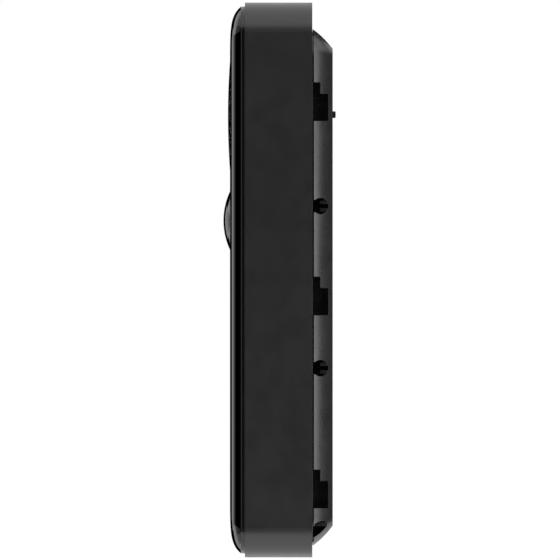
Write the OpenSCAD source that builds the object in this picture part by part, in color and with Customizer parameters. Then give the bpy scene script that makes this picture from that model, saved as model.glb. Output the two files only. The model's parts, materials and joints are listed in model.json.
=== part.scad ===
// Battery video doorbell for a wall bracket.
// Every piece is drawn lying on its back: X across, Y up the body, Z out from the wall,
// and upright() then stands it up, so that the wall face is the plane Y = 0 and the front looks along -Y.

/* [Body] */
// Height of the outer frame
body_h = 138.7; // [134:0.1:144]
// Width of the outer frame
body_w = 46; // [45:0.5:50]
// Corner radius of the outer frame, seen from the front
body_corner = 7.5; // [6.5:0.1:9]
// Depth of the outer frame's side wall, front to back
band_depth = 16.95; // [16.75:0.05:17.5]
// Height of the frame's inner lip, which the cover's collar stands on
band_lip = 0.25; // [0.25:0.05:0.4]
// Side wall thickness of the outer frame
band_wall = 2.3; // [2:0.1:2.6]
// Rounding of the frame's front edge
band_round = 0.1; // [0.05:0.05:0.3]

/* [Front cover] */
// Gap between the edge of the cover and the edge of the frame
cover_inset = 1; // [0.8:0.05:1.1]
// Corner radius of the cover
cover_corner = 6.25; // [5.5:0.05:7]
// Height of the straight collar under the cover
collar_depth = 0.5; // [0.5:0.05:0.7]
// Height of the cover over its collar
cover_depth = 3; // [2.9:0.05:3.1]
// Height of the cover's straight edge
cover_lip = 0.25; // [0.1:0.05:0.3]
// How far in from the edge the cover starts to curve down
cover_curve_w = 10.5; // [9:0.5:11]
// Length over which the cover's fall from its flat middle grows 2.7 times
cover_fall = 2.25; // [1.8:0.05:2.6]

/* [Front details] */
// Distance from the top to the middle of the camera window
camera_below_top = 28.15; // [27.5:0.05:29]
// Diameter of the camera window
window_d = 27.4; // [26.5:0.1:28.5]
// Height of the camera window's rim over the cover
window_rim = 0.05; // [0.04:0.01:0.1]
// Height of the camera window's middle over the cover
window_crown = 0.54; // [0.4:0.01:0.7]
// Distance from the top to the middle of the button
button_below_top = 54.45; // [54:0.05:55]
// Diameter of the button's domed face
button_d = 14.85; // [14:0.05:14.9]
// Height of the button's dome over the cover
button_crown = 1.68; // [1:0.01:2]

/* [Rear housing] */
// Depth of the rear housing
housing_depth = 5; // [4.95:0.05:5.4]
// Step from the frame to the housing at both sides and the bottom
housing_inset = 2.9; // [2.8:0.05:3.3]
// Step from the frame to the housing at the top
housing_inset_top = 6.55; // [6.2:0.05:7]
// Corner radius where the housing meets the frame
housing_corner = 7; // [6.6:0.1:7.6]
// Thickness of the housing's sloped wall
housing_wall = 1; // [0.9:0.05:1.2]

/* [Travel] */
// Stroke of the call button
button_stroke = 0.8; // [0.4:0.05:0.8]
// How far the tamper plunger stands out of the wall face
tamper_proud = 0.8; // [0.5:0.01:0.8]

/* [Hidden] */

$fn = 64;
eps = 0.05;

// Heights over the wall face
band_back = housing_depth;
band_front = band_back + band_depth;
seat = band_front + band_lip;
cover_back = seat + collar_depth;
face = cover_back + cover_depth;
back_plate = 2;
back_step = 0.12;
seam = 0.3;
seam_depth = 0.7;
pocket_floor = 1.5;
carrier_back = seat - 1.5;
chassis_back = band_back + back_plate + 2.6;
chassis_front = chassis_back + 1.6;
board_t = 1;
camera_board_back = chassis_front + 1.5;
camera_board_front = camera_board_back + board_t;
front_board_back = chassis_front + 3;
front_board_front = front_board_back + board_t;
main_board_back = chassis_back - board_t;

// Places on the front
half_w = body_w / 2;
half_h = body_h / 2;
camera_y = half_h - camera_below_top;
button_y = half_h - button_below_top;
pir_y = button_y - 24;
pir_size = [17, 11];
pir_corner = 3;
speaker_y = 13.2 - half_h;
mic_y = half_h - 7.5;

// Outlines
cavity_half_w = half_w - band_wall;
cavity_half_h = half_h - band_wall;
cavity_corner = body_corner - band_wall;
cover_half_w = half_w - cover_inset;
cover_half_h = half_h - cover_inset;
housing_half_w = half_w - housing_inset;
housing_bottom = housing_inset - half_h;
housing_top = half_h - housing_inset_top;
pocket_half_w = 11;
pocket_bottom = -51;
pocket_top = 50;
pocket_corner = 3.4;
pocket_wall = 1.2;

// Slope of the housing's edge: where the curved stretch ends and where the wall face begins
slope_curve_end = [3.72, 1];
slope_face = 4.97;
slope_radius = 21;

// Openings in the housing's sloped sides
hook_top = [49.35, 0.8, -47.4];
hook_slot_h = 2.8;
hook_window_h = 6.85;
hook_slot_z = 3.1;
hook_window_z = 1.1;
hook_channel_x = 13;
channel_rib_x = pocket_half_w + pocket_wall / 2;
latch_pitch = 40.5;
latch_y = (housing_top + housing_bottom) / 2 + 0.05;
latch_z = 3.05;
latch_r = 2.05;
latch_mouth_h = 3.1;
latch_slot_h = 1.1;
latch_bar_h = 2.75;
latch_bar_z = latch_z + 0.15;
latch_flush_z = latch_z - 0.75;
latch_floor_x = housing_half_w - 3.45;
foot_top = -61.5;
foot_x = 12.3;
foot_r = 9.15;
foot_at = [-56.15, 8.9];
foot_lip_x = 17.2;
foot_lip_r = 5.2;
foot_lip_at = [-65.5, 1.75];

// Fasteners
boss_d = 5.4;
housing_screw_at = [[-9.5, 55], [9.5, 55], [-9.5, -56.5], [9.5, -56.5]];
chassis_screw_at = [for (x = [-17.9, 17.9], y = [-61, -12, 14, 56]) [x, y]];
front_screw_at = [for (x = [-12, 12], y = [-6, 25]) [x, y]];
camera_screw_at = [for (x = [-10.3, 10.3], y = [-9.8, 9.8]) [x, camera_y + y]];
main_screw_at = [for (x = [-14, 14], y = [-28, 47]) [x, y]];

// Things reached from the back
tamper_at = [0, 41.5];
tamper_d = 1.7;
reset_at = [6.5, 5];
reset_d = 3.4;
usb_at = [0, -6];
usb_shell = [9, 3.3];
usb_hinge_x = 8.3;
usb_flap_t = 0.8;
terminal_at = [for (x = [-5.2, 5.2]) [x, -24]];
terminal_hole_d = 7;
security_z = 2.7;
security_y = -57.5;
security_len = 5;

// Speaker and lens sizes
speaker_d = 19.6;
barrel_d = 11;
light_ring_d = 19.4;
light_ring_bore = button_d + 0.4;
flange_d = 16.4;
button_seal_top = 20.15;
switch_bore_floor = front_board_front + 1.2;
switch_top = front_board_front + 3.3;
stem_end = switch_top + button_stroke + 0.15;

// ---- shared shapes ----

module upright() rotate([90, 0, 0]) children();

// Rectangle with round corners between two heights
module outline(hw, y0, y1, r) {
    translate([r - hw, y0]) square([2 * (hw - r), y1 - y0]);
    translate([-hw, y0 + r]) square([2 * hw, y1 - y0 - 2 * r]);
    for (x = [r - hw, hw - r], y = [y0 + r, y1 - r]) translate([x, y]) circle(r);
}

module plate(hw, y0, y1, r, z0, z1)
    translate([0, 0, z0]) linear_extrude(z1 - z0) outline(hw, y0, y1, r);

// Ring between an outline and the same outline moved in by t
module rim(hw, y0, y1, r, t, z0, z1)
    translate([0, 0, z0]) linear_extrude(z1 - z0) difference() {
        outline(hw, y0, y1, r);
        outline(hw - t, y0 + t, y1 - t, r - t);
    }

// What a rounding of radius t takes off the upper outer edge of a plate with top z1
module edge_round(hw, y0, y1, r, t, z1) {
    cx = hw - r;
    for (m = [0, 1]) mirror([m, 0, 0]) {
        translate([cx, y1 - r, z1]) rotate([90, 0, 0]) linear_extrude(y1 - y0 - 2 * r) spandrel(r, t);
        translate([cx, y1 - r, z1]) rotate_extrude(angle = 90) spandrel(r, t);
        translate([cx, y0 + r, z1]) rotate([0, 0, -90]) rotate_extrude(angle = 90) spandrel(r, t);
    }
    translate([-cx, y1 - r, z1]) rotate([90, 0, 90]) linear_extrude(2 * cx) spandrel(r, t);
    translate([cx, y0 + r, z1]) rotate([90, 0, -90]) linear_extrude(2 * cx) spandrel(r, t);
}

module spandrel(r, t) difference() {
    translate([r - t, -t]) square(t + eps);
    translate([r - t, -t]) circle(t);
}

module disc(d, z0, z1, at = [0, 0]) translate([at.x, at.y, z0]) cylinder(d = d, h = z1 - z0);

module ring(d, bore, z0, z1, at = [0, 0]) difference() {
    disc(d, z0, z1, at);
    disc(bore, z0 - eps, z1 + eps, at);
}

module block(w, h, z0, z1, at = [0, 0])
    translate([at.x - w / 2, at.y - h / 2, z0]) cube([w, h, z1 - z0]);

module rounded_block(size, r, z0, z1, at = [0, 0])
    translate([at.x, at.y, 0]) plate(size.x / 2, -size.y / 2, size.y / 2, r, z0, z1);

module turned(at) translate([at.x, at.y, 0]) rotate_extrude() children();

module copies(places) for (p = places) translate([p.x, p.y, 0]) children();

// Pan-head screw that points away from the wall, with a cross recess
module screw(head_d, head_h, shank_d, z_head, z_tip) difference() {
    union() {
        disc(head_d, z_head, z_head + head_h);
        disc(shank_d, z_head, z_tip);
    }
    for (a = [0, 90]) rotate([0, 0, a])
        block(head_d * 0.6, head_d * 0.16, z_head - eps, z_head + head_h * 0.55);
}

// Wire coil with its axis along Z, swept as eight-sided rings
module coil(radius, wire, turns, z0, z1) {
    sides = 8;
    per_turn = 16;
    steps = turns * per_turn;
    points = [for (i = [0:steps], k = [0:sides - 1])
        let (a = 360 * i / per_turn, b = 360 * k / sides, r = radius + wire / 2 * cos(b))
        [r * cos(a), r * sin(a), z0 + wire / 2 + (z1 - z0 - wire) * i / steps + wire / 2 * sin(b)]];
    walls = [for (i = [0:steps - 1], k = [0:sides - 1])
        let (n = (k + 1) % sides)
        [i * sides + k, (i + 1) * sides + k, (i + 1) * sides + n, i * sides + n]];
    first = [for (k = [0:sides - 1]) k];
    last = [for (k = [sides - 1:-1:0]) steps * sides + k];
    polyhedron(points, concat(walls, [first, last]));
}

// ---- casing ----

module outer_frame() color("#2a2a2c") upright() difference() {
    union() {
        difference() {
            union() {
                difference() {
                    plate(half_w, -half_h, half_h, body_corner, band_back, band_front);
                    edge_round(half_w, -half_h, half_h, body_corner, band_round, band_front);
                }
                plate(cover_half_w, -cover_half_h, cover_half_h, cover_corner, band_front - eps, seat);
            }
            plate(cavity_half_w, -cavity_half_h, cavity_half_h, cavity_corner,
                band_back + back_plate, seat + eps);
        }
        copies(housing_screw_at) disc(boss_d, band_back + back_plate - eps, chassis_back - 0.1);
    }
    plate(pocket_half_w - 0.8, pocket_bottom + 0.8, pocket_top - 0.8, pocket_corner - 0.8,
        band_back - eps, band_back + back_plate + eps);
    rim(pocket_half_w + pocket_wall, pocket_bottom - pocket_wall, pocket_top + pocket_wall,
        pocket_corner + pocket_wall, pocket_wall, band_back - eps, band_back + 0.8);
    rim(cover_half_w - 0.2, 0.2 - cover_half_h, cover_half_h - 0.2, cover_corner - 0.2, 0.7,
        seat - 0.6, seat + eps);
    copies(housing_screw_at) disc(2, band_back - eps, chassis_back - 0.6);
    around_seam(band_back - eps, band_back + back_step);
}

// All that lies further out than the faces on which the frame and the housing meet
module around_seam(z0, z1) difference() {
    translate([-half_w - eps, -half_h - eps, z0]) cube([body_w + 2 * eps, body_h + 2 * eps, z1 - z0]);
    plate(housing_half_w - seam_depth, housing_bottom + seam_depth, housing_top - seam_depth,
        housing_corner - seam_depth, z0 - eps, z1 + eps);
}

// Section of the housing's edge, out from the corner's centre, with its wall moved in by t
function slope_centre() =
    let (a = [housing_corner, band_back], b = [housing_corner - slope_curve_end.x, slope_curve_end.y],
         mid = (a + b) / 2, chord = norm(a - b), rise = sqrt(slope_radius ^ 2 - (chord / 2) ^ 2),
         along = (b - a) / chord)
    mid + rise * [along.y, -along.x];

module housing_section(t) {
    centre = slope_centre();
    curve_r = housing_corner - slope_curve_end.x;
    intersection() {
        translate([0, slope_curve_end.y]) square([housing_corner, band_back - slope_curve_end.y]);
        translate(centre) circle(slope_radius - t, $fn = 720);
    }
    if (t == 0) polygon([
        [0, 0],
        [housing_corner - slope_face, 0],
        [curve_r, slope_curve_end.y],
        [0, slope_curve_end.y]
    ]);
}

module housing_side(t, y0, y1)
    translate([housing_half_w - housing_corner, y1, 0]) rotate([90, 0, 0]) linear_extrude(y1 - y0)
        housing_section(t);

// The housing's outline swept round with that section
module housing_body(t) {
    cx = housing_half_w - housing_corner;
    y0 = housing_bottom + housing_corner;
    y1 = housing_top - housing_corner;
    floor_z = t == 0 ? 0 : slope_curve_end.y;
    translate([-cx, y0, floor_z]) cube([2 * cx, y1 - y0, band_back - floor_z]);
    for (m = [0, 1]) mirror([m, 0, 0]) {
        housing_side(t, y0, y1);
        translate([cx, y1, 0]) rotate_extrude(angle = 90) housing_section(t);
        translate([cx, y0, 0]) rotate([0, 0, -90]) rotate_extrude(angle = 90) housing_section(t);
    }
    translate([-cx, y1, 0]) rotate([90, 0, 90]) linear_extrude(2 * cx) housing_section(t);
    translate([cx, y0, 0]) rotate([90, 0, -90]) linear_extrude(2 * cx) housing_section(t);
}

module pocket(t, z0, z1)
    plate(pocket_half_w + t, pocket_bottom - t, pocket_top + t, pocket_corner + t, z0, z1);

// L-shaped window that takes a hook of the wall bracket
module hook_window(top) {
    reach = half_w - hook_channel_x;
    translate([hook_channel_x, top - hook_slot_h, hook_slot_z])
        cube([reach, hook_slot_h + eps, band_back - hook_slot_z + eps]);
    translate([hook_channel_x, top - hook_slot_h - hook_window_h, hook_window_z])
        cube([reach, hook_window_h, band_back - hook_window_z + eps]);
}

// Round latch pocket, open towards the frame, over a slotted bar whose flat face runs out at the slope
module latch_pocket(y) {
    difference() {
        translate([housing_half_w - housing_corner + eps, y, latch_z]) {
            rotate([0, 90, 0]) cylinder(r = latch_r, h = 10);
            translate([0, -latch_mouth_h / 2, 0]) cube([10, latch_mouth_h, band_back - latch_z + eps]);
        }
        block(2 * latch_floor_x, latch_bar_h, 0, latch_bar_z, [0, y]);
        block(2 * latch_floor_x, 3 * latch_r, 0, latch_flush_z, [0, y]);
    }
    translate([hook_channel_x, y - latch_slot_h / 2, hook_window_z])
        cube([10, latch_slot_h, band_back - hook_window_z]);
}

// Opening at each bottom corner for the foot of the wall bracket, with a curved slit and a flat lip above it
module foot_opening() {
    intersection() {
        translate([foot_x, foot_at.x, foot_at.y]) rotate([0, 90, 0])
            cylinder(r = foot_r, h = half_w, $fn = 180);
        translate([foot_x, housing_bottom, 0]) cube([half_w, foot_top - housing_bottom, band_back + eps]);
    }
    foot_arc(foot_x, foot_lip_r + 0.15) foot_arc(foot_x - eps, foot_lip_r - 0.15);
    foot_arc(foot_lip_x, foot_lip_r);
}

// Part of a cylinder along X over the foot opening, less its children
module foot_arc(x, r) difference() {
    intersection() {
        translate([x, foot_lip_at.x, foot_lip_at.y]) rotate([0, 90, 0])
            cylinder(r = r, h = half_w - x, $fn = 128);
        translate([x, foot_top - eps, foot_lip_at.y + 0.2]) cube([half_w, 2, 2.65]);
    }
    children();
}

module rear_housing() color("#222224") upright() difference() {
    union() {
        difference() {
            housing_body(0);
            intersection() {
                housing_body(housing_wall);
                translate([-half_w, -half_h, pocket_floor]) cube([body_w, body_h, band_back]);
            }
        }
        difference() {
            pocket(pocket_wall, pocket_floor - eps, band_back);
            pocket(0, pocket_floor - 2 * eps, band_back + eps);
        }
        copies(housing_screw_at) disc(boss_d, pocket_floor - eps, band_back);
        translate([-3.2, security_y - security_len - 0.1, pocket_floor - eps])
            cube([6.4, security_len + 0.9, band_back - pocket_floor + eps]);
        intersection() {
            housing_body(housing_wall / 2);
            for (x = [-channel_rib_x, channel_rib_x])
                block(pocket_wall, body_h, pocket_floor - eps, band_back, [x, 0]);
        }
        for (x = [-1, 1], s = [-1, 1])
            translate([x * (latch_floor_x - 1.25), latch_y + s * latch_pitch / 2, 0]) {
                block(2.5, latch_bar_h, pocket_floor - eps, latch_bar_z);
                block(2.5, 2 * latch_r + 1, pocket_floor - eps, latch_flush_z);
            }
        for (x = [-1, 1]) block(2.4, 1.6, pocket_floor - eps, band_back - 0.6,
            [x * (foot_lip_x - 1.2), foot_top + 0.8]);
    }
    difference() {
        around_seam(band_back - seam, band_back + eps);
        translate([3.6 - housing_half_w, -half_h, 0]) cube([2 * housing_half_w - 7.2, body_h, body_h]);
    }
    for (m = [0, 1]) mirror([m, 0, 0]) {
        for (top = hook_top) hook_window(top);
        for (s = [-1, 1]) latch_pocket(latch_y + s * latch_pitch / 2);
        foot_opening();
    }
    copies(housing_screw_at) {
        disc(2.4, -eps, band_back + eps);
        disc(4.3, -eps, 1.7);
    }
    disc(tamper_d + 0.16, -eps, pocket_floor + eps, tamper_at);
    disc(reset_d + 0.2, -eps, pocket_floor + eps, reset_at);
    copies(terminal_at) disc(terminal_hole_d, -eps, pocket_floor + eps);
    rounded_block([10, 4.3], 1.6, -eps, pocket_floor + eps, usb_at);
    rounded_block([17.4, 7.2], 2, -eps, 0.9, [usb_at.x + 1.6, usb_at.y]);
    translate([0, security_y + eps, security_z]) rotate([90, 0, 0]) cylinder(d = 3.4, h = 12);
}

// Share of the cover's rise that is reached this far in from its edge
function cover_rise(inset) = (1 - exp(-inset / cover_fall)) / (1 - exp(-cover_curve_w / cover_fall));

// Front cover: a plate with a straight edge, over which it rises ever more gently to its flat middle
module cover_shape() {
    steps = 12;
    hull() for (i = [0:steps]) {
        inset = cover_curve_w * (i / steps) ^ 2;
        plate(cover_half_w - inset, inset - cover_half_h, cover_half_h - inset, cover_corner - 0.25 * inset,
            cover_back, cover_back + cover_lip + (cover_depth - cover_lip) * cover_rise(inset), $fn = 48);
    }
}

module speaker_holes(z0, z1) {
    disc(1.3, z0, z1, [0, speaker_y]);
    for (a = [0:60:300]) disc(1.3, z0, z1, [2.9 * cos(a), speaker_y + 2.9 * sin(a)]);
    for (a = [0:30:330]) disc(1.3, z0, z1, [5.8 * cos(a), speaker_y + 5.8 * sin(a)]);
}

module front_cover() color("#08080a") upright() difference() {
    cover_shape();
    disc(window_d - 1.4, cover_back - eps, face + 1, [0, camera_y]);
    disc(light_ring_d + 0.1, cover_back - eps, face + 1, [0, button_y]);
    rounded_block(pir_size, pir_corner, cover_back - eps, face + 1, [0, pir_y]);
    disc(1.2, cover_back - eps, face + 1, [0, mic_y]);
    speaker_holes(cover_back - eps, face + 1);
}

module front_carrier() color("#101012") upright() difference() {
    union() {
        plate(cover_half_w, -cover_half_h, cover_half_h, cover_corner, seat, cover_back);
        plate(cavity_half_w - 0.1, 0.1 - cavity_half_h, cavity_half_h - 0.1, cavity_corner - 0.1,
            carrier_back, seat + eps);
        copies(chassis_screw_at) disc(4.2, chassis_front, carrier_back + eps);
    }
    disc(21, carrier_back - eps, cover_back + eps, [0, camera_y]);
    disc(window_d - 1.4, cover_back - 0.6, cover_back + eps, [0, camera_y]);
    disc(light_ring_d + 0.1, carrier_back - eps, cover_back + eps, [0, button_y]);
    rounded_block([pir_size.x - 1, pir_size.y - 1], pir_corner - 0.5,
        carrier_back - eps, seat + eps, [0, pir_y]);
    rounded_block([pir_size.x + 3, pir_size.y + 3], pir_corner + 1.5, seat, cover_back + eps, [0, pir_y]);
    disc(1.6, carrier_back - eps, cover_back + eps, [0, mic_y]);
    disc(15, carrier_back - eps, cover_back + eps, [0, speaker_y]);
    disc(18, cover_back - 0.3, cover_back + eps, [0, speaker_y]);
    copies(chassis_screw_at) disc(1.7, chassis_front - eps, chassis_front + 6);
}

module front_seal() color("#3a3a3a") upright()
    rim(cover_half_w - 0.25, 0.25 - cover_half_h, cover_half_h - 0.25, cover_corner - 0.25, 0.6,
        seat - 0.55, seat);

module housing_seal() color("#3a3a3a") upright()
    rim(pocket_half_w + pocket_wall - 0.05, pocket_bottom - pocket_wall + 0.05,
        pocket_top + pocket_wall - 0.05, pocket_corner + pocket_wall - 0.05, pocket_wall - 0.1,
        band_back, band_back + 0.75);

module inner_chassis() color("#4a4a4e") upright() difference() {
    union() {
        plate(cavity_half_w - 0.3, 0.3 - cavity_half_h, cavity_half_h - 0.3, cavity_corner - 0.3,
            chassis_back, chassis_front);
        copies(front_screw_at) disc(3.8, chassis_front - eps, front_board_back);
        copies(camera_screw_at) disc(3.2, chassis_front - eps, camera_board_back);
        for (x = [-2.6, 2.6]) disc(2, chassis_front - eps, carrier_back - 3.7, [x, mic_y]);
        rim(17, -46, -15.6, 2.2, 1, chassis_front - eps, chassis_front + 4);
    }
    copies(chassis_screw_at) disc(2, chassis_back - eps, chassis_front + eps);
    copies(front_screw_at) disc(1.5, chassis_front - 1, front_board_back + eps);
    copies(camera_screw_at) disc(1.5, chassis_front - 1, camera_board_back + eps);
    copies(main_screw_at) disc(1.5, chassis_back - eps, chassis_front - 0.4);
    block(11, 4.4, chassis_back - eps, chassis_front + eps, [0, camera_y - 14.4]);
    block(15, 5, chassis_back - eps, chassis_front + eps, [0, 4]);
    block(7, 3, chassis_front - eps, chassis_front + 5, [9.5, -15.6]);
}

// ---- camera ----

module camera_window() color("#050507") upright() turned([0, camera_y]) {
    shoulder = window_d / 2 - 0.1;
    rise = window_crown - window_rim;
    crown_r = (shoulder ^ 2 + rise ^ 2) / (2 * rise);
    polygon([
        [0, face - 2.1],
        [window_d / 2 - 0.8, face - 2.1],
        [window_d / 2 - 0.8, face],
        [window_d / 2, face],
        [window_d / 2, face + 0.02],
        [shoulder, face + window_rim],
        [0, face + window_rim]
    ]);
    intersection() {
        translate([0, face + window_rim - eps]) square([shoulder, rise + 2 * eps]);
        translate([0, face + window_crown - crown_r]) circle(crown_r, $fn = 1440);
    }
}

module window_gasket() color("#303030") upright()
    ring(window_d - 1.7, 21.4, cover_back - 0.6, face - 2.1, [0, camera_y]);

module light_baffle() color("#151515") upright()
    ring(15.2, 13.4, camera_board_front + 5.8, face - 2.2, [0, camera_y]);

module front_lens() color("#26303c") upright() intersection() {
    disc(9.4, 21.2, face - 2.1, [0, camera_y]);
    translate([0, camera_y, 23.3 - 9]) sphere(9, $fn = 128);
}

module rear_lens() color("#26303c") upright() disc(7, 17.2, 20.2, [0, camera_y]);

module lens_barrel() color("#1c1c1e") upright() difference() {
    union() {
        disc(barrel_d, 16.3, 22.8, [0, camera_y]);
        disc(13, 20.6, 22.8, [0, camera_y]);
    }
    disc(5.6, 16, 24, [0, camera_y]);
    disc(7, 17.2, 20.2, [0, camera_y]);
    disc(7, 20.1, 21.3, [0, camera_y]);
    disc(9.4, 21.2, 24, [0, camera_y]);
}

module lens_holder() color("#1a1a1c") upright() difference() {
    block(17, 17, camera_board_front, 19.4, [0, camera_y]);
    block(11, 11, camera_board_front - eps, 15.4, [0, camera_y]);
    block(7.4, 7.4, 15.3, 15.9, [0, camera_y]);
    disc(6, 15.8, 16.4, [0, camera_y]);
    disc(barrel_d + 0.06, 16.2, 20, [0, camera_y]);
}

module ir_filter() color("#7a3a3a") upright() block(7.2, 7.2, 15.5, 15.9, [0, camera_y]);

module image_sensor() color("#33383f") upright() {
    block(9, 9, camera_board_front, camera_board_front + 0.9, [0, camera_y]);
    block(6.4, 6.4, camera_board_front + 0.9, camera_board_front + 1.3, [0, camera_y]);
}

module camera_board() color("#0d5a34") upright() difference() {
    rounded_block([24.4, 23.4], 1, camera_board_back, camera_board_front, [0, camera_y]);
    copies(camera_screw_at) disc(1.8, camera_board_back - eps, camera_board_front + eps);
}

module ir_board() color("#0d5a34") upright() ring(20.4, 15.6, 19.4, 20.2, [0, camera_y]);

module ir_leds() color("#3c1c22") upright() for (a = [30:60:330]) translate([0, camera_y, 0]) {
    at = 9 * [cos(a), sin(a)];
    disc(2.2, 20.2, 21.4, at);
    translate([at.x, at.y, 21.4]) intersection() {
        sphere(1.1, $fn = 48);
        cylinder(r = 1.1, h = 1.1);
    }
}

// Flat cable folded from the camera board through the chassis to the main board
module camera_flex() color("#b5651d") upright() translate([-4, 0, 0]) rotate([90, 0, 90]) linear_extrude(8) {
    y0 = camera_y - 14.4;
    z0 = camera_board_back;
    polygon([
        [y0 + 10, z0],
        [y0 + 1, z0],
        [y0, z0 - 1],
        [y0, chassis_back],
        [y0 + 0.2, chassis_back],
        [y0 + 0.2, z0 - 1.1],
        [y0 + 1.1, z0 - 0.2],
        [y0 + 10, z0 - 0.2]
    ]);
}

// ---- call button ----

module button_cap() color("#070709") upright() translate([0, button_y, 0]) {
    dome_r = ((button_d / 2) ^ 2 + button_crown ^ 2) / (2 * button_crown);
    intersection() {
        translate([0, 0, face + button_crown - dome_r]) sphere(dome_r, $fn = 180);
        disc(button_d, face, face + button_crown + 1);
    }
    ring(button_d, button_d - 2.4, cover_back - 1.1, face);
    disc(button_d - 2, face - 0.6, face);
    ring(flange_d, button_d - 2.4, cover_back - 1.1, cover_back - 0.1);
    disc(3.6, stem_end, face - 0.5);
}

module button_light_ring() color("#dfe6ea") upright() translate([0, button_y, 0]) {
    ring(light_ring_d, light_ring_bore, cover_back, face);
    ring(light_ring_d, 17, 16.4, cover_back);
    ring(light_ring_d + 1.8, light_ring_d - 0.2, carrier_back - 1, carrier_back);
}

module button_spring() color("#b8b8bc") upright()
    translate([0, button_y, 0]) coil(4.4, 0.5, 4, button_seal_top + button_stroke + 0.1, face - 0.62);

module button_seal() color("#5c5c60") upright() ring(16.9, 4.3, 19.6, button_seal_top, [0, button_y]);

module button_switch() color("#1a1a1a") upright() difference() {
    block(6, 6, front_board_front, switch_top, [0, button_y]);
    disc(3.1, switch_bore_floor, switch_top + eps, [0, button_y]);
}

module switch_plunger() color("#c9c4b8") upright()
    disc(3, switch_bore_floor + button_stroke + 0.1, stem_end, [0, button_y]);

module ring_leds() color("#f2edd8") upright() translate([0, button_y, 0])
    for (a = [22.5:45:340]) rotate([0, 0, a])
        block(0.8, 1.6, front_board_front, front_board_front + 0.6, [9, 0]);

module front_board() color("#0d5a34") upright() difference() {
    rounded_block([29, 41.5], 1.5, front_board_back, front_board_front, [0, 6.5]);
    copies(front_screw_at) disc(1.8, front_board_back - eps, front_board_front + eps);
}

// ---- motion sensor, microphone and speaker ----

module pir_lens() color("#1b1b20") upright() difference() {
    union() {
        rounded_block([pir_size.x - 0.2, pir_size.y - 0.2], pir_corner - 0.1, seat, face, [0, pir_y]);
        rounded_block([pir_size.x + 2.8, pir_size.y + 2.8], pir_corner + 1.4, seat, cover_back, [0, pir_y]);
    }
    rounded_block([pir_size.x - 3, pir_size.y - 3], pir_corner - 1, seat - eps, face - 0.7, [0, pir_y]);
}

module pir_sensor() color("#b9bcc2") upright() translate([0, pir_y, 0]) {
    disc(9, front_board_front, front_board_front + 0.6);
    difference() {
        disc(8.2, front_board_front + 0.5, front_board_front + 4);
        block(4, 3, front_board_front + 3.7, front_board_front + 5);
    }
    for (a = [0, 90, 180]) disc(0.5, front_board_back - 1.4, front_board_back, 2.5 * [cos(a), sin(a)]);
}

module microphone() color("#c8a860") upright()
    block(3.8, 3, carrier_back - 2.9, carrier_back - 1.8, [0, mic_y]);

module mic_boot() color("#2b2b2b") upright() ring(5, 1.4, carrier_back - 1.8, carrier_back, [0, mic_y]);

module mic_board() color("#0d5a34") upright() block(9, 5, carrier_back - 3.7, carrier_back - 2.9, [0, mic_y]);

module speaker_mesh() color("#606468") upright() disc(17.8, cover_back - 0.28, cover_back, [0, speaker_y]);

module speaker_gasket() color("#2b2b2b") upright()
    ring(speaker_d, 17, carrier_back - 0.5, carrier_back, [0, speaker_y]);

module speaker_frame() color("#2e3034") upright() translate([0, speaker_y, 0]) difference() {
    disc(speaker_d, 15.4, carrier_back - 0.5);
    disc(17, 16.4, carrier_back);
    disc(18, 19.2, carrier_back);
    disc(10, 15, 17);
    for (a = [45:90:315]) disc(3, 15, 17, 7 * [cos(a), sin(a)]);
}

module speaker_cone() color("#3b3f45") upright() turned([0, speaker_y]) polygon([
    [0, 19],
    [3.4, 18.4],
    [8, 19.2],
    [8.9, 19.2],
    [8.9, 19.4],
    [7.9, 19.4],
    [3.4, 18.65],
    [0, 19.25]
]);

module voice_coil() color("#b06a2c") upright() ring(7, 6.2, 14.6, 18.35, [0, speaker_y]);

module speaker_magnet() color("#8d9096") upright() difference() {
    disc(12, chassis_front, 15.4, [0, speaker_y]);
    ring(8, 5.4, 12.6, 16, [0, speaker_y]);
}

// ---- power ----

module battery_pack() color("#3d5f8f") upright() {
    rounded_block([31.2, 27.2], 1.6, chassis_front, carrier_back - 0.4, [0, -31.2]);
    block(12, 1, 15, 18, [9.5, -17.1]);
}

module battery_leads() color("#a01c1c") upright() for (x = [8.8, 10.2])
    translate([x, -13.6, 16.6]) rotate([90, 0, 0]) cylinder(d = 1, h = 3);

module battery_connector() color("#e6e2d4") upright() difference() {
    block(5, 4, front_board_front, front_board_front + 3.4, [9.5, -11.6]);
    block(3.8, 2.8, front_board_front + 2.4, front_board_front + 4, [9.5, -11.6]);
}

// ---- main board ----

module main_board() color("#0d5a34") upright() difference() {
    plate(15.6, -31, 50, 1.5, main_board_back, chassis_back);
    copies(main_screw_at) disc(1.8, main_board_back - eps, chassis_back + eps);
}

module board_connector() color("#d8d2c0") upright() block(14, 4, chassis_back, front_board_back, [0, 4]);

module shield_can() color("#a9adb2") upright() {
    difference() {
        rounded_block([18, 14], 0.8, main_board_back - 2, main_board_back, [0, 26]);
        rounded_block([17.4, 13.4], 0.5, main_board_back - 1.8, main_board_back + eps, [0, 26]);
    }
}

module board_chips() color("#17181a") upright() {
    block(7, 7, main_board_back - 1, main_board_back, [-5.6, 12.5]);
    block(6, 5, main_board_back - 0.9, main_board_back, [3.4, 13]);
    block(5, 5, main_board_back - 0.9, main_board_back, [-6, 3]);
    block(4, 3, main_board_back - 1.2, main_board_back, [0, -14]);
}

module usb_socket() color("#c2c5c9") upright() {
    difference() {
        rounded_block(usb_shell, 1.5, pocket_floor + 0.5, main_board_back, usb_at);
        rounded_block([usb_shell.x - 0.6, usb_shell.y - 0.6], 1.2, pocket_floor, main_board_back - 1, usb_at);
    }
    block(6, 0.7, pocket_floor + 1.2, main_board_back - 0.9, usb_at);
}

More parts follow.
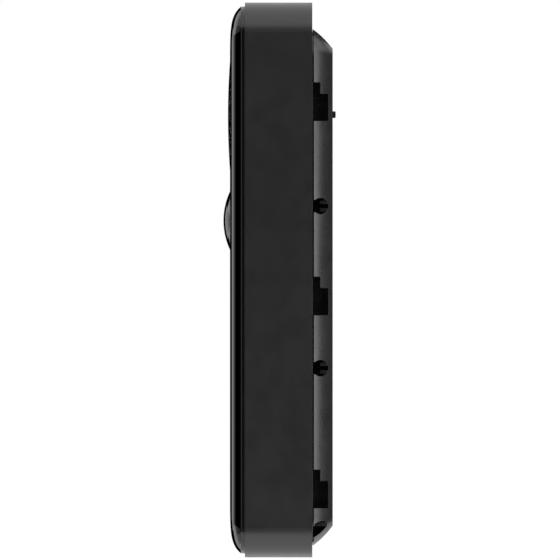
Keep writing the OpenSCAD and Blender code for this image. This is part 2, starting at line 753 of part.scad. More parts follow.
// Rubber flap over the charging socket, with its plug, turning about its tether end
module usb_cover() color("#242426") upright() {
    rounded_block([14.6, 6.6], 1.7, 0.05, 0.05 + usb_flap_t, [usb_at.x + 0.7, usb_at.y]);
    rounded_block([9.2, 3.5], 1.2, 0.8, 1.7, usb_at);
    translate([usb_hinge_x, usb_at.y + 2, 0.48]) rotate([90, 0, 0]) cylinder(d = 0.8, h = 4);
}

module terminal_block() color("#dcd8c8") upright() difference() {
    block(19, 10, 2.5, main_board_back, [0, -24]);
    copies(terminal_at) disc(3, 2, 7);
}

module terminal_screws() color("#b9a45a") upright() copies(terminal_at) screw(5.4, 1.5, 2.98, 0.3, 6.6);

module terminal_washers() color("#c2c5c9") upright() copies(terminal_at) ring(6.2, 3, 1.8, 2.5);

module reset_button() color("#5a5a5e") upright() translate([reset_at.x, reset_at.y, 0]) {
    disc(reset_d, 0.35, 1.7);
    disc(4.6, 1.6, 2.2);
    disc(1.6, 2.1, 5);
}

module reset_switch() color("#1a1a1a") upright() {
    block(4, 4, 5.9, main_board_back, reset_at);
    disc(2, 5.45, 5.9, reset_at);
}

module tamper_plunger() color("#101012") upright() translate([tamper_at.x, tamper_at.y, 0]) {
    translate([0, 0, -tamper_proud]) cylinder(d1 = tamper_d - 0.3, d2 = tamper_d, h = 0.15);
    disc(tamper_d, 0.15 - tamper_proud, 4.4);
    disc(3.4, pocket_floor + eps, 2.4);
}

// Its free end stays short of the switch by the plunger's stroke, which stands for its compression
module tamper_spring() color("#b8b8bc") upright()
    translate([tamper_at.x, tamper_at.y, 0]) coil(1.3, 0.35, 4, 2.4, 5.4 - tamper_proud);

module tamper_switch() color("#1a1a1a") upright() block(4.6, 4.6, 5.45, main_board_back, tamper_at);

module security_insert() color("#b08d3c") upright() translate([0, security_y, security_z]) rotate([90, 0, 0])
    difference() {
        cylinder(d = 3.4, h = security_len);
        translate([0, 0, -eps]) cylinder(d = 2.05, h = security_len + 2 * eps);
    }

// ---- fasteners ----

module housing_screws() color("#8b8d90") upright()
    copies(housing_screw_at) screw(3.8, 1.3, 1.96, 0.4, chassis_back - 0.9);

module chassis_screws() color("#8b8d90") upright()
    copies(chassis_screw_at) screw(3.4, 1.1, 1.66, chassis_back - 1.1, chassis_front + 5.5);

module board_screws() color("#8b8d90") upright() {
    copies(main_screw_at) screw(2.8, 0.9, 1.46, main_board_back - 0.9, chassis_front - 0.6);
    copies(front_screw_at) mirror([0, 0, 1])
        screw(2.8, 0.9, 1.46, -front_board_front - 0.9, 0.9 - chassis_front);
    copies(camera_screw_at) mirror([0, 0, 1])
        screw(2.8, 0.9, 1.46, -camera_board_front - 0.9, 0.9 - chassis_front);
}

outer_frame();
rear_housing();
front_cover();
front_carrier();
front_seal();
housing_seal();
inner_chassis();
camera_window();
window_gasket();
light_baffle();
front_lens();
rear_lens();
lens_barrel();
lens_holder();
ir_filter();
image_sensor();
camera_board();
ir_board();
ir_leds();
camera_flex();
button_cap();
button_light_ring();
button_spring();
button_seal();
button_switch();
switch_plunger();
ring_leds();
front_board();
pir_lens();
pir_sensor();
microphone();
mic_boot();
mic_board();
speaker_mesh();
speaker_gasket();
speaker_frame();
speaker_cone();
voice_coil();
speaker_magnet();
battery_pack();
battery_leads();
battery_connector();
main_board();
board_connector();
shield_can();
board_chips();
usb_socket();
usb_cover();
terminal_block();
terminal_screws();
terminal_washers();
reset_button();
reset_switch();
tamper_plunger();
tamper_spring();
tamper_switch();
security_insert();
housing_screws();
chassis_screws();
board_screws();
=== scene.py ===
"""Looks of the video doorbell: a material for each slot, four smoother pieces, the studio and the camera."""

import json
import math

import bmesh
import bpy
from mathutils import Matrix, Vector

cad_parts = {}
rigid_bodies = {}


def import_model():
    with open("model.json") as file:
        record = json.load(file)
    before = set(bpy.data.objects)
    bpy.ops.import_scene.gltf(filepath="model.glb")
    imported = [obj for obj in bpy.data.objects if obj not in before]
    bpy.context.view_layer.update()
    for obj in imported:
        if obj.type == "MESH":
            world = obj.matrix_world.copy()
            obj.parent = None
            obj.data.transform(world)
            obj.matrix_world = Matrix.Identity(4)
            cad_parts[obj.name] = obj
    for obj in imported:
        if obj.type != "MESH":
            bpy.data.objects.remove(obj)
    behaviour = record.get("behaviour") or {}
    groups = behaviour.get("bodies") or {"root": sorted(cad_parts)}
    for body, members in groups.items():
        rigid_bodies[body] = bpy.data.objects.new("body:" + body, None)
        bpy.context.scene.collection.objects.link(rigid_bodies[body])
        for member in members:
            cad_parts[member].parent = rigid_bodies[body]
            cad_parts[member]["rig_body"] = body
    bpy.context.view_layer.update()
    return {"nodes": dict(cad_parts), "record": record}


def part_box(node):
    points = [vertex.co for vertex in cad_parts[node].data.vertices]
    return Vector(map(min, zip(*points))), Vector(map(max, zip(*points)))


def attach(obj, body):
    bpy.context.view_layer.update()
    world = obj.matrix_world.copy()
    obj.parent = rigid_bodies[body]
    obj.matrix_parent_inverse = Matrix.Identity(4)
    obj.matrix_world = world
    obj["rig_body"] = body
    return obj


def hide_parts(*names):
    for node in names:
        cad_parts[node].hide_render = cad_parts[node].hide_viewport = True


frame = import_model()

slot_of = {part["node"]: part["material_slot"] for part in frame["record"]["subparts"]}
body_of = {name: node["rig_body"] for name, node in frame["nodes"].items()}

MM = 0.001


# ---- material nodes ----

# Sockets of the Mix node once it mixes colours
COLOUR_A, COLOUR_B, COLOUR_OUT = 6, 7, 2


class Surface:
    """A Principled material, with short calls for the nodes that vary it. Sizes ending in _mm are in mm."""

    def __init__(self, name, colour, roughness, **sockets):
        self.name = name
        self.material = bpy.data.materials.new(name)
        self.material.use_nodes = True
        self.tree = self.material.node_tree
        self.shader = self.tree.nodes["Principled BSDF"]
        self.shader.inputs["Base Color"].default_value = (*colour, 1)
        self.shader.inputs["Roughness"].default_value = roughness
        for socket, value in sockets.items():
            self.shader.inputs[socket.replace("_", " ")].default_value = value
        self.coords = self.node("ShaderNodeTexCoord").outputs["Object"]
        self.colour = (*colour, 1)
        self.normal = None

    def node(self, kind, settings=None, **inputs):
        made = self.tree.nodes.new(kind)
        for key, value in (settings or {}).items():
            setattr(made, key, value)
        for key, value in inputs.items():
            self.feed(made.inputs[key.replace("_", " ")], value)
        return made

    def feed(self, socket, value):
        """Links a socket to an output, or sets it to a constant."""
        if isinstance(value, bpy.types.NodeSocket):
            self.tree.links.new(value, socket)
        else:
            socket.default_value = value

    def math(self, operation, a, b=0.0):
        made = self.node("ShaderNodeMath", {"operation": operation})
        self.feed(made.inputs[0], a)
        self.feed(made.inputs[1], b)
        return made.outputs[0]

    def noise(self, size_mm, detail=2.0, stretch=(1, 1, 1)):
        """Noise from 0 to 1. A stretch below 1 draws it out along that axis."""
        mapping = self.node("ShaderNodeMapping", Vector=self.coords, Scale=stretch)
        scale = 1 / (size_mm * MM)
        texture = self.node("ShaderNodeTexNoise", Vector=mapping.outputs[0], Scale=scale, Detail=detail)
        return texture.outputs["Fac"]

    def ramp(self, value, low, high, out_low=0.0, out_high=1.0):
        """Smooth step from out_low, where the value is low, to out_high, where it is high."""
        made = self.node("ShaderNodeMapRange", {"interpolation_type": "SMOOTHSTEP"})
        for socket, number in zip(made.inputs, (value, low, high, out_low, out_high)):
            self.feed(socket, number)
        return made.outputs[0]

    def tint(self, mask, colour):
        """Mixes another colour in where the mask is 1."""
        mix = self.node("ShaderNodeMix", {"data_type": "RGBA"}, Factor=mask)
        self.feed(mix.inputs[COLOUR_A], self.colour)
        self.feed(mix.inputs[COLOUR_B], (*colour, 1))
        self.colour = mix.outputs[COLOUR_OUT]
        self.feed(self.shader.inputs["Base Color"], self.colour)

    def rough(self, pattern, low, high):
        """Varies the roughness with a pattern whose values lie mostly between 0.25 and 0.75."""
        self.feed(self.shader.inputs["Roughness"], self.ramp(pattern, 0.25, 0.75, low, high))

    def bump(self, height, depth_mm):
        """Adds a height pattern, which goes from 0 to 1, on top of those already there."""
        made = self.node("ShaderNodeBump", Height=height, Distance=depth_mm * MM, Strength=1.0)
        if self.normal:
            self.feed(made.inputs["Normal"], self.normal)
        self.normal = made.outputs[0]
        self.feed(self.shader.inputs["Normal"], self.normal)

    def soft_edges(self, radius_mm):
        """Rounds the shading of sharp edges, before any bump, and returns a mask of the edges."""
        cosine_flat, cosine_edge = 0.995, 0.85
        bevel = self.node("ShaderNodeBevel", {"samples": 4}, Radius=radius_mm * MM)
        self.normal = bevel.outputs[0]
        self.feed(self.shader.inputs["Normal"], self.normal)
        same = self.node("ShaderNodeVectorMath", {"operation": "DOT_PRODUCT"})
        self.feed(same.inputs[0], self.node("ShaderNodeNewGeometry").outputs["Normal"])
        self.feed(same.inputs[1], self.normal)
        return self.ramp(same.outputs["Value"], cosine_flat, cosine_edge)

    def stripes(self, axis, pitch_mm, share):
        """Mask of thin lines across one axis, which take up that share of their pitch."""
        half_line, blur = 0.5 * share, 0.08
        place = self.node("ShaderNodeSeparateXYZ", Vector=self.coords)
        cell = self.math("FRACT", self.math("DIVIDE", place.outputs[axis], pitch_mm * MM))
        from_middle = self.math("ABSOLUTE", self.math("SUBTRACT", cell, 0.5))
        return self.ramp(from_middle, half_line, half_line + blur, 1.0, 0.0)


def shade(colour, factor, lift=0.0):
    """The same colour, darker or lighter."""
    return [c * factor + lift for c in colour]


# ---- kinds of surface ----


def moulded(name, colour, roughness, grain_mm=0.25, depth_mm=0.006, edge_mm=0.12, wear=0.35, **sockets):
    """Moulded plastic or rubber: fine spark-eroded grain, slow flow marks, and pale worn edges that double
    as a painted highlight.
    """
    s = Surface(name, colour, roughness, **sockets)
    edges = s.soft_edges(edge_mm)
    flow_marks = s.ramp(s.noise(14, 3), 0.3, 0.7)
    s.tint(flow_marks, shade(colour, 0.9))
    wear_and_highlight_spots = s.ramp(s.noise(1.5, 3), 0.35, 0.7, 0, wear)
    # Edges tinted paler where the noise spots fall: partly worn plastic, partly a painted edge highlight.
    s.tint(s.math("MULTIPLY", edges, wear_and_highlight_spots), shade(colour, 2.2, 0.01))
    s.rough(s.noise(5, 4), roughness - 0.02, roughness + 0.03)
    s.bump(s.noise(grain_mm, 3), depth_mm)
    return s


def polished(name, colour, roughness):
    """Polished gloss plastic: faint orange peel, slow changes of gloss, fine wiping marks and dust."""
    s = Surface(name, colour, roughness)
    s.soft_edges(0.1)
    wiping_marks = s.ramp(s.noise(0.5, 2, (1, 1, 0.03)), 0.6, 0.75)
    dust = s.ramp(s.noise(0.7, 2), 0.72, 0.8, 0, 0.4)
    s.tint(dust, shade(colour, 3, 0.002))
    cloudy = s.math("ADD", s.noise(9, 3), s.math("MULTIPLY", wiping_marks, 0.18))
    s.rough(cloudy, roughness, roughness + 0.05)
    s.bump(s.noise(3.5, 1), 0.0008)
    return s


def metal(name, colour, roughness, grain_mm, stretch=(1, 1, 1)):
    """Metal with a drawn, brushed or plated grain and small dull spots."""
    s = Surface(name, colour, roughness, Metallic=1.0)
    s.soft_edges(0.06)
    dull_spots = s.ramp(s.noise(1.8, 4), 0.45, 0.75, 0, 0.6)
    s.tint(dull_spots, shade(colour, 0.6))
    grain = s.noise(grain_mm, 3, stretch)
    s.rough(grain, roughness - 0.06, roughness + 0.14)
    s.bump(grain, 0.002)
    return s


def glass(name, colour, roughness, **sockets):
    """Clear or tinted optical material, very slightly uneven in its gloss."""
    s = Surface(name, colour, roughness, Transmission_Weight=1.0, **sockets)
    s.rough(s.noise(0.6, 2), roughness, roughness + 0.015)
    s.bump(s.noise(4, 1), 0.0004)
    return s


def ribbed(name, colour, roughness, axis, pitch_mm, depth_mm, line_colour, **sockets):
    """Film, winding or cone with fine parallel ribs of a second colour across one axis."""
    s = Surface(name, colour, roughness, **sockets)
    lines = s.stripes(axis, pitch_mm, 0.5)
    s.tint(lines, line_colour)
    dull_spots = s.ramp(s.noise(2.5, 3), 0.4, 0.8, 0, 0.5)
    s.tint(dull_spots, shade(colour, 0.7))
    s.rough(s.noise(1, 3), roughness - 0.05, roughness + 0.08)
    s.bump(lines, depth_mm)
    return s


# ---- single surfaces ----


def sensor_window():
    """Moulded cover of the motion sensor: a grid of small ring lenses, one of them in the middle."""
    ring_mm, ring_depth_mm = 0.42, 0.025
    pitch_x, pitch_z = 4.0 * MM, 3.4 * MM
    s = moulded("sensor_window", (0.008, 0.008, 0.0095), 0.26, grain_mm=0.2, depth_mm=0.001, wear=0.1)
    centre = middle("pir_lens")
    place = s.node("ShaderNodeSeparateXYZ", Vector=s.coords)
    axes = ((place.outputs[0], centre.x, pitch_x), (place.outputs[2], centre.z, pitch_z))
    squares = []
    for value, start, pitch in axes:
        turns = s.math("DIVIDE", s.math("SUBTRACT", value, start), pitch)
        cell = s.math("FRACT", s.math("ADD", turns, 0.5))
        offset = s.math("MULTIPLY", s.math("SUBTRACT", cell, 0.5), pitch / MM)
        squares.append(s.math("MULTIPLY", offset, offset))
    radius = s.math("SQRT", s.math("ADD", *squares))
    s.bump(s.math("FRACT", s.math("DIVIDE", radius, ring_mm)), ring_depth_mm)
    return s


def circuit_board():
    """Green solder mask over patches of parallel tracks, with tinned vias."""
    patch_mm, track_pitch_mm, track_share, via_pitch_mm = 4.5, 0.7, 0.4, 1.9
    s = Surface("circuit_board", (0.012, 0.10, 0.05), 0.3, Coat_Weight=0.3, Coat_Roughness=0.15)
    patches = s.node("ShaderNodeTexVoronoi", {"distance": "CHEBYCHEV"}, Vector=s.coords,
                     Scale=1 / (patch_mm * MM))
    pick = s.node("ShaderNodeSeparateColor", Color=patches.outputs["Color"])
    turned = s.ramp(pick.outputs[0], 0.49, 0.51)
    not_turned = s.ramp(pick.outputs[0], 0.51, 0.49)
    along_x = s.math("MULTIPLY", s.stripes(0, track_pitch_mm, track_share), turned)
    along_z = s.math("MULTIPLY", s.stripes(2, track_pitch_mm, track_share), not_turned)
    filled = s.ramp(pick.outputs[1], 0.3, 0.32)
    tracks = s.math("MULTIPLY", s.math("ADD", along_x, along_z), filled)
    s.tint(tracks, (0.03, 0.2, 0.085))
    vias = s.node("ShaderNodeTexVoronoi", Vector=s.coords, Scale=1 / (via_pitch_mm * MM))
    pads = s.ramp(vias.outputs["Distance"], 0.13, 0.1)
    s.tint(pads, (0.6, 0.56, 0.42))
    s.feed(s.shader.inputs["Metallic"], pads)
    s.rough(s.noise(2, 3), 0.26, 0.38)
    s.bump(tracks, 0.02)
    return s


def perforated():
    """Dark steel mesh with evenly spaced round holes, painted near black as the shade seen through them."""
    hole_pitch_mm = 0.42
    s = metal("mesh_steel", (0.1, 0.1, 0.105), 0.4, grain_mm=0.3)
    cells = s.node("ShaderNodeTexVoronoi", Vector=s.coords, Scale=1 / (hole_pitch_mm * MM), Randomness=0.0)
    holes = s.ramp(cells.outputs["Distance"], 0.36, 0.3)
    # Painted shade: the holes are only tinted near black, standing for the dark seen through them.
    s.tint(holes, (0.004, 0.004, 0.004))
    return s


def cell_wrap():
    """Coloured shrink film over the cell, with soft lengthwise wrinkles."""
    s = Surface("cell_wrap", (0.03, 0.09, 0.22), 0.3, Coat_Weight=0.4, Coat_Roughness=0.1)
    s.tint(s.ramp(s.noise(8, 3), 0.45, 0.7), (0.022, 0.07, 0.18))
    s.rough(s.noise(3, 3), 0.22, 0.38)
    wrinkles = s.noise(2.2, 3, (1, 1, 0.25))
    s.bump(wrinkles, 0.05)
    return s


def light_guide():
    """Frosted light guide: milky, a little see-through, with fine surface haze."""
    s = Surface("light_guide", (0.42, 0.45, 0.47), 0.35, Subsurface_Weight=0.4, Subsurface_Scale=0.8 * MM,
                Transmission_Weight=0.15)
    s.soft_edges(0.1)
    s.tint(s.ramp(s.noise(2, 3), 0.3, 0.7), (0.36, 0.39, 0.41))
    s.rough(s.noise(1.2, 3), 0.3, 0.42)
    s.bump(s.noise(0.2, 2), 0.003)
    return s


def dark_plastics():
    """Casing, covers, seals and other black or dark mouldings."""
    thin_edges = {"edge_mm": 0.05, "wear": 0.15}
    return [
        moulded("frame_plastic", (0.009, 0.009, 0.0094), 0.33, grain_mm=0.3, depth_mm=0.005, **thin_edges),
        moulded("housing_plastic", (0.0098, 0.0098, 0.0102), 0.27, depth_mm=0.002, **thin_edges),
        polished("cover_black", (0.0005, 0.0005, 0.0006), 0.03),
        moulded("carrier_black", (0.0055, 0.0055, 0.0055), 0.2, grain_mm=0.2, depth_mm=0.001),
        moulded("plunger_black", (0.004, 0.004, 0.004), 0.5, grain_mm=0.2, depth_mm=0.001, wear=0.1,
                Specular_IOR_Level=0.1),
        moulded("soft_rubber", (0.018, 0.018, 0.019), 0.62, grain_mm=0.18, depth_mm=0.008, wear=0.15),
        moulded("chassis_plastic", (0.06, 0.06, 0.066), 0.5, grain_mm=0.3, depth_mm=0.01),
        moulded("lens_black", (0.006, 0.006, 0.0065), 0.6, grain_mm=0.12, depth_mm=0.02, wear=0.1),
        moulded("chip_black", (0.012, 0.012, 0.013), 0.5, grain_mm=0.15, depth_mm=0.008, edge_mm=0.05),
    ]


def pale_plastics():
    """Silicone, connectors, lead insulation and the bodies of the white LEDs."""
    return [
        moulded("silicone", (0.2, 0.2, 0.21), 0.55, grain_mm=0.3, depth_mm=0.004, wear=0.1,
                Subsurface_Weight=0.15),
        moulded("connector_plastic", (0.68, 0.65, 0.55), 0.45, grain_mm=0.3, depth_mm=0.004, wear=0.1),
        moulded("lead_red", (0.36, 0.012, 0.012), 0.35, grain_mm=0.5, depth_mm=0.004),
        moulded("led_white", (0.75, 0.7, 0.42), 0.4, grain_mm=0.15, depth_mm=0.004, edge_mm=0.05, wear=0.1),
    ]


def optics():
    """Window, lenses, filter, clear LED domes, light ring and motion sensor cover."""
    thin_film = {"Thin_Film_Thickness": 380.0, "Thin_Film_IOR": 1.38}
    return [
        glass("window_glass", (0.30, 0.30, 0.33), 0.01, IOR=1.49),
        glass("lens_glass", (0.85, 0.88, 0.95), 0.0, IOR=1.6, **thin_film),
        glass("filter_glass", (0.7, 0.25, 0.3), 0.0, IOR=1.52, **thin_film),
        glass("led_dome", (0.35, 0.12, 0.16), 0.02, IOR=1.5),
        light_guide(),
        sensor_window(),
    ]


def metals():
    """Steel, brass, tin, the magnet's plating and the speaker's mesh."""
    return [
        metal("spring_steel", (0.5, 0.5, 0.52), 0.25, grain_mm=0.1),
        metal("screw_steel", (0.42, 0.42, 0.43), 0.3, grain_mm=0.2),
        metal("terminal_brass", (0.55, 0.46, 0.27), 0.28, grain_mm=0.2),
        metal("insert_brass", (0.55, 0.4, 0.15), 0.3, grain_mm=0.2, stretch=(0.1, 1, 0.1)),
        metal("shield_tin", (0.6, 0.61, 0.62), 0.3, grain_mm=0.4, stretch=(0.2, 1, 1)),
        metal("magnet_plate", (0.45, 0.46, 0.48), 0.28, grain_mm=0.5),
        perforated(),
    ]


def electrical():
    """Boards, cell, flat cable, voice coil and cone."""
    return [
        circuit_board(),
        cell_wrap(),
        ribbed("flex_film", (0.36, 0.13, 0.025), 0.3, axis=0, pitch_mm=0.5, depth_mm=0.01,
               line_colour=(0.5, 0.24, 0.08)),
        ribbed("coil_copper", (0.5, 0.2, 0.08), 0.3, axis=1, pitch_mm=0.16, depth_mm=0.03,
               line_colour=(0.62, 0.3, 0.14), Metallic=1.0),
        ribbed("cone_film", (0.05, 0.053, 0.06), 0.45, axis=0, pitch_mm=0.9, depth_mm=0.01,
               line_colour=(0.06, 0.064, 0.072)),
    ]


def slot_materials():
    """The finish of each material slot of the record, by the slot's name."""
    surfaces = dark_plastics() + pale_plastics() + optics() + metals() + electrical()
    return {s.name: s.material for s in surfaces}


# ---- meshes ----

ROUND_STEPS = 96
LEAD = 0.12 * MM
ON_AXIS = 1e-7
SHARP_ANGLE = math.radians(28)


def middle(node):
    low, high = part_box(node)
    return (low + high) / 2


def outline(half_w, half_h, radius, steps):
    """Points round a rounded rectangle, anticlockwise in the plane of X and Z."""
    points = []
    for corner, (side_x, side_z) in enumerate(((1, 1), (-1, 1), (-1, -1), (1, -1))):
        for i in range(steps + 1):
            angle = math.radians(90 * (corner + i / steps))
            x = side_x * (half_w - radius) + radius * math.cos(angle)
            z = side_z * (half_h - radius) + radius * math.sin(angle)
            points.append((x, z))
    return points


def circle(x, y, z, radius, steps):
    """Points round a circle that faces along Y."""
    angles = [2 * math.pi * i / steps for i in range(steps)]
    return [(x + radius * math.cos(a), y, z + radius * math.sin(a)) for a in angles]


def loft(rings):
    """Closed mesh through rings of points that have the same number of points each."""
    mesh = bmesh.new()
    rows = [[mesh.verts.new(p) for p in ring] for ring in rings]
    for low, high in zip(rows, rows[1:]):
        for i in range(len(low)):
            j = (i + 1) % len(low)
            mesh.faces.new((low[i], low[j], high[j], high[i]))
    mesh.faces.new(reversed(rows[0]))
    mesh.faces.new(rows[-1])
    bmesh.ops.recalc_face_normals(mesh, faces=mesh.faces)
    return mesh


def turn(centre, profile, steps):
    """Closed mesh turned round an axis along Y, from pairs of radius and place along that axis."""
    mesh = bmesh.new()
    rows = []
    for radius, y in profile:
        count = 1 if radius < ON_AXIS else steps
        rows.append([mesh.verts.new(p) for p in circle(centre.x, y, centre.z, radius, count)])
    for low, high in zip(rows, rows[1:] + rows[:1]):
        for i in range(steps):
            j = i + 1
            corners = (low[i % len(low)], low[j % len(low)], high[j % len(high)], high[i % len(high)])
            unique = list(dict.fromkeys(corners))
            if len(unique) > 2:
                mesh.faces.new(unique)
    bmesh.ops.recalc_face_normals(mesh, faces=mesh.faces)
    return mesh


def dome(rim_r, rim_y, tip_y):
    """Spherical cap profile from its rim to its tip on the axis."""
    steps = 32
    rise = abs(tip_y - rim_y)
    radius = (rim_r ** 2 + rise ** 2) / (2 * rise)
    side = math.copysign(1, tip_y - rim_y)
    angles = [math.asin(rim_r / radius) * (1 - i / steps) for i in range(steps + 1)]
    return [(radius * math.sin(a), tip_y - side * radius * (1 - math.cos(a))) for a in angles]


def to_object(mesh, name):
    data = bpy.data.meshes.new(name)
    mesh.to_mesh(data)
    mesh.free()
    made = bpy.data.objects.new(name, data)
    bpy.context.scene.collection.objects.link(made)
    return made


def cut(target, cutter):
    """Takes the cutter out of the target for good."""
    modifier = target.modifiers.new("cut", "BOOLEAN")
    modifier.object = cutter
    modifier.operation = "DIFFERENCE"
    modifier.solver = "EXACT"
    bpy.context.view_layer.objects.active = target
    bpy.ops.object.modifier_apply(modifier="cut")
    bpy.data.objects.remove(cutter)


def smooth(piece, material):
    """Smooth shading up to its sharp edges, with the large flat faces kept flat."""
    piece.data.materials.clear()
    piece.data.materials.append(material)
    for face in piece.data.polygons:
        face.use_smooth = True
    piece.data.set_sharp_from_angle(angle=SHARP_ANGLE)
    weighted = piece.modifiers.new("even_normals", "WEIGHTED_NORMAL")
    weighted.keep_sharp = True


# ---- front cover ----


def cover_blank():
    """The cover without its holes: a bevelled edge, a short lip and a face that rises ever more gently."""
    low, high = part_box("front_cover")
    half_w, half_h = high.x, (high.z - low.z) / 2
    curve_w, fall = 10.5 * MM, 2.25 * MM
    lip, bevel = 0.25 * MM, 0.07 * MM
    corner, corner_loss = 6.25 * MM, 0.25
    curve_steps, corner_steps = 48, 24
    rise = high.y - low.y - lip
    levels = [(bevel, high.y), (0.1 * bevel, high.y - 0.85 * lip)]
    for i in range(curve_steps + 1):
        inset = curve_w * (i / curve_steps) ** 2
        share = (1 - math.exp(-inset / fall)) / (1 - math.exp(-curve_w / fall))
        levels.append((inset, high.y - lip - rise * share))
    rings = []
    for inset, y in levels:
        points = outline(half_w - inset, half_h - inset, corner - corner_loss * inset, corner_steps)
        rings.append([(x, y, z) for x, z in points])
    return loft(rings)


def bore_levels():
    """Places along Y of a hole through the cover, each with the hole's extra size in its countersink."""
    low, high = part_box("front_cover")
    return [(low.y - MM, LEAD), (low.y, LEAD), (low.y + LEAD, 0), (high.y + MM, 0)]


def bore(x, z, radius, steps=40):
    """Cutter for a round hole through the cover."""
    return loft([circle(x, y, z, radius + extra, steps) for y, extra in bore_levels()])


def slot_bore(z, half_w, half_h, radius):
    """Cutter for a rounded rectangular hole on the cover's centre line."""
    corner_steps = 10
    rings = []
    for y, extra in bore_levels():
        points = outline(half_w + extra, half_h + extra, radius + extra, corner_steps)
        rings.append([(px, y, z + pz) for px, pz in points])
    return loft(rings)


def speaker_bores():
    """Cutters for the speaker's holes: one in the middle and two rings."""
    hole_r = 0.65 * MM
    centre_z = middle("speaker_mesh").z
    holes = [bore(0, centre_z, hole_r)]
    for count, ring_r in ((6, 2.9 * MM), (12, 5.8 * MM)):
        holes += [bore(x, z, hole_r) for x, _, z in circle(0, 0, centre_z, ring_r, count)]
    return holes


def front_cover(materials):
    """Front cover, bored for what shows through it."""
    window_r, ring_r, microphone_r = 13.0 * MM, 9.75 * MM, 0.6 * MM
    sensor_half_w, sensor_half_h, sensor_corner = 8.5 * MM, 5.5 * MM, 3 * MM
    cover = to_object(cover_blank(), "front_cover_skin")
    cutters = [
        bore(0, middle("camera_window").z, window_r, ROUND_STEPS),
        bore(0, middle("button_light_ring").z, ring_r, ROUND_STEPS),
        slot_bore(middle("pir_lens").z, sensor_half_w, sensor_half_h, sensor_corner),
        bore(0, middle("microphone").z, microphone_r),
    ]
    for cutter in cutters + speaker_bores():
        cut(cover, to_object(cutter, "cutter"))
    smooth(cover, materials["cover_black"])
    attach(cover, "casing")
    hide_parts("front_cover")


# ---- turned pieces ----


def lathe(node, profile, materials):
    """Solid turned round the node's own axis along Y. It stands for that node and rides on its body."""
    steps = 160
    slot = slot_of[node]
    piece = to_object(turn(middle(node), profile, steps), f"{node}_skin")
    smooth(piece, materials[slot])
    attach(piece, body_of[node])
    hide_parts(node)


def button_cap(materials):
    """Call button: domed face with a rolled edge, skirt, flange and the stem that reaches the switch."""
    low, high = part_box("button_cap")
    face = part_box("front_cover")[0].y
    flange_w, flange_t, flange_gap = 0.775 * MM, MM, 0.1 * MM
    skirt_t, face_t, stem_r, roll = 1.2 * MM, 0.6 * MM, 1.8 * MM, 0.1 * MM
    flange_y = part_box("front_cover")[1].y + flange_gap
    flange_r = high.x
    skirt_r = flange_r - flange_w
    bore_r = skirt_r - skirt_t
    profile = dome(skirt_r - roll, face - roll * 0.6, low.y)[::-1]
    profile += [
        (skirt_r - 0.3 * roll, face - 0.2 * roll),
        (skirt_r, face + roll),
        (skirt_r, flange_y),
        (flange_r, flange_y),
        (flange_r, flange_y + flange_t),
        (bore_r, flange_y + flange_t),
        (bore_r, face + face_t),
        (stem_r, face + face_t),
        (stem_r, high.y),
        (0, high.y),
    ]
    lathe("button_cap", profile, materials)


def camera_window(materials):
    """Window with a low crown over a thin rim that lies on the cover."""
    low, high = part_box("camera_window")
    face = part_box("front_cover")[0].y
    roll, roll_rise, rim_t, rim_w = 0.1 * MM, 0.05 * MM, 0.02 * MM, 0.8 * MM
    rim_r = high.x
    plug_r = rim_r - rim_w
    profile = dome(rim_r - roll, face - roll_rise, low.y)[::-1]
    profile += [
        (rim_r, face - rim_t),
        (rim_r, face),
        (plug_r, face),
        (plug_r, high.y),
        (0, high.y),
    ]
    lathe("camera_window", profile, materials)


def front_lens(materials):
    """Front lens: a meniscus, domed in front and hollow behind, with a flat rim."""
    low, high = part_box("front_lens")
    crown, bevel_w, bevel_h = 1.3 * MM, 0.1 * MM, 0.15 * MM
    hollow_share, hollow_depth = 0.72, 0.35 * MM
    rim_r = high.x
    profile = dome(rim_r - bevel_w, low.y + crown, low.y)[::-1]
    profile += [(rim_r, low.y + crown + bevel_h), (rim_r, high.y)]
    profile += dome(rim_r * hollow_share, high.y, high.y - hollow_depth)
    lathe("front_lens", profile, materials)


# ---- studio ----

FLOOR_LEVEL = -0.3

# Turns of a softbox, named after the way it then shines
DOWN = (0, 0, 0)
UP = (math.pi, 0, 0)
TO_FRONT = (-math.pi / 2, 0, 0)
TO_WALL = (math.pi / 2, 0, 0)
TO_CAMERA_SIDE = (0, -math.pi / 2, 0)


def softbox(name, at, size, brightness, facing):
    """Rectangular light of that radiance, which the camera doesn't see."""
    light = bpy.data.lights.new(name, "AREA")
    light.shape = "RECTANGLE"
    light.size, light.size_y = size
    light.energy = brightness * math.pi * size[0] * size[1]
    made = bpy.data.objects.new(name, light)
    made.location = at
    made.rotation_euler = facing
    made.visible_camera = False
    bpy.context.scene.collection.objects.link(made)


def overhead_and_bounce():
    """Three soft lights above, and two just over the floor that stand for light from it."""
    above, below = 1.2, FLOOR_LEVEL + 0.015
    softbox("overhead", (1.085, 0.5, above), (3.77, 6.0), 1.75, DOWN)
    softbox("overhead_rear", (-1.885, -0.2, above), (2.17, 1.4), 1.4, DOWN)
    softbox("overhead_wall_corner", (-2.6, 2.55, above), (2.8, 2.1), 1.5, DOWN)
    softbox("floor_bounce", (0.225, 0.15, below), (0.93, 1.1), 1.8, UP)
    softbox("floor_bounce_rear", (-0.465, 0.243, below), (0.45, 0.914), 1.2, UP)


def wall_side():
    """A bright light and its dim edge beyond the wall face. They draw the band on the housing's curve."""
    plane, height = 1.5, 2.4
    softbox("wall_side", (1.046, plane, 0), (1.482, height), 4.5, TO_FRONT)
    softbox("wall_side_fade", (2.494, plane, 0), (1.413, height), 0.8, TO_FRONT)


def front_strips():
    """Strips on the far side, dimmer towards the front. They draw the bands on the cover's curved edge."""
    plane, height = -1.5, 0.4
    softbox("front_strip", (plane, -1.14, 0), (height, 0.72), 0.88, TO_CAMERA_SIDE)
    softbox("front_strip_dim", (plane, -1.745, 0), (height, 0.49), 0.68, TO_CAMERA_SIDE)
    softbox("front_strip_fade", (plane, -2.467, 0), (height, 0.954), 0.28, TO_CAMERA_SIDE)


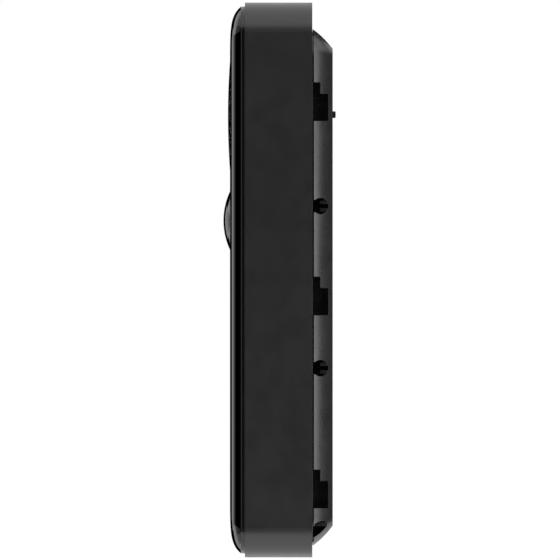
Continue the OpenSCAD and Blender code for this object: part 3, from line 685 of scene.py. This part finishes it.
def front_panels(end):
    """Panels above or below the strips, each with a dim edge. They light the cover's top or bottom curve."""
    side_plane, side_y, side_w = -1.5, -1.98, 1.92
    front_plane, front_x, front_w = -3.0, -0.57, 1.66
    softbox("front_panel", (side_plane, side_y, end * 1.03), (1.74, side_w), 1.25, TO_CAMERA_SIDE)
    softbox("front_panel_fade", (side_plane, side_y, end * 0.11), (0.1, side_w), 0.6, TO_CAMERA_SIDE)
    softbox("front_far_panel", (front_x, front_plane, end * 1.55), (front_w, 1.5), 0.95, TO_WALL)
    softbox("front_far_fade", (front_x, front_plane, end * 0.5), (front_w, 0.6), 0.4, TO_WALL)


def studio():
    """Plain soft studio light from above, below and both far corners."""
    overhead_and_bounce()
    wall_side()
    front_strips()
    for end in (-1, 1):
        front_panels(end)


def background():
    """White background that only the camera sees."""
    world = bpy.data.worlds.new("studio")
    world.use_nodes = True
    world.node_tree.nodes["Background"].inputs["Color"].default_value = (1, 1, 1, 1)
    for ray in ("diffuse", "glossy", "transmission", "scatter"):
        setattr(world.cycles_visibility, ray, False)
    bpy.context.scene.world = world


def pale_floor():
    """Pale paper floor that only the camera sees, and only from above."""
    mesh = bmesh.new()
    bmesh.ops.create_circle(mesh, cap_ends=True, radius=6.0, segments=ROUND_STEPS)
    floor = to_object(mesh, "floor")
    floor.location.z = FLOOR_LEVEL
    floor.visible_glossy = floor.visible_diffuse = floor.visible_transmission = floor.visible_shadow = False
    s = Surface("floor_paper", (0.34, 0.34, 0.34), 0.8, Emission_Color=(1, 1, 1, 1), Emission_Strength=0.62,
                Specular_IOR_Level=0.1)
    s.tint(s.ramp(s.noise(400, 3), 0.3, 0.7), (0.33, 0.33, 0.335))
    s.bump(s.noise(3, 2), 0.05)
    underside = s.node("ShaderNodeNewGeometry").outputs["Backfacing"]
    s.feed(s.shader.inputs["Alpha"], s.math("SUBTRACT", 1.0, underside))
    floor.data.materials.append(s.material)


def camera():
    """Side view from +X with a long lens. The picture is 140 mm high at the framed plane."""
    frame_height, framed_plane, centre_y = 140 * MM, 16 * MM, -13.18 * MM
    data = bpy.data.cameras.new("side")
    data.lens = 1000
    data.sensor_width = 36
    data.clip_end = 30
    distance = frame_height * data.lens / data.sensor_width
    made = bpy.data.objects.new("side", data)
    made.location = (distance + framed_plane, centre_y, 0)
    made.rotation_euler = (math.radians(90), 0, math.radians(90))
    bpy.context.scene.collection.objects.link(made)
    bpy.context.scene.camera = made


# ---- the scene ----

materials = slot_materials()
for name, node in frame["nodes"].items():
    node.data.materials.clear()
    node.data.materials.append(materials[slot_of[name]])

front_cover(materials)
button_cap(materials)
camera_window(materials)
front_lens(materials)
studio()
background()
pale_floor()
camera()
bpy.context.scene.view_settings.view_transform = "Standard"
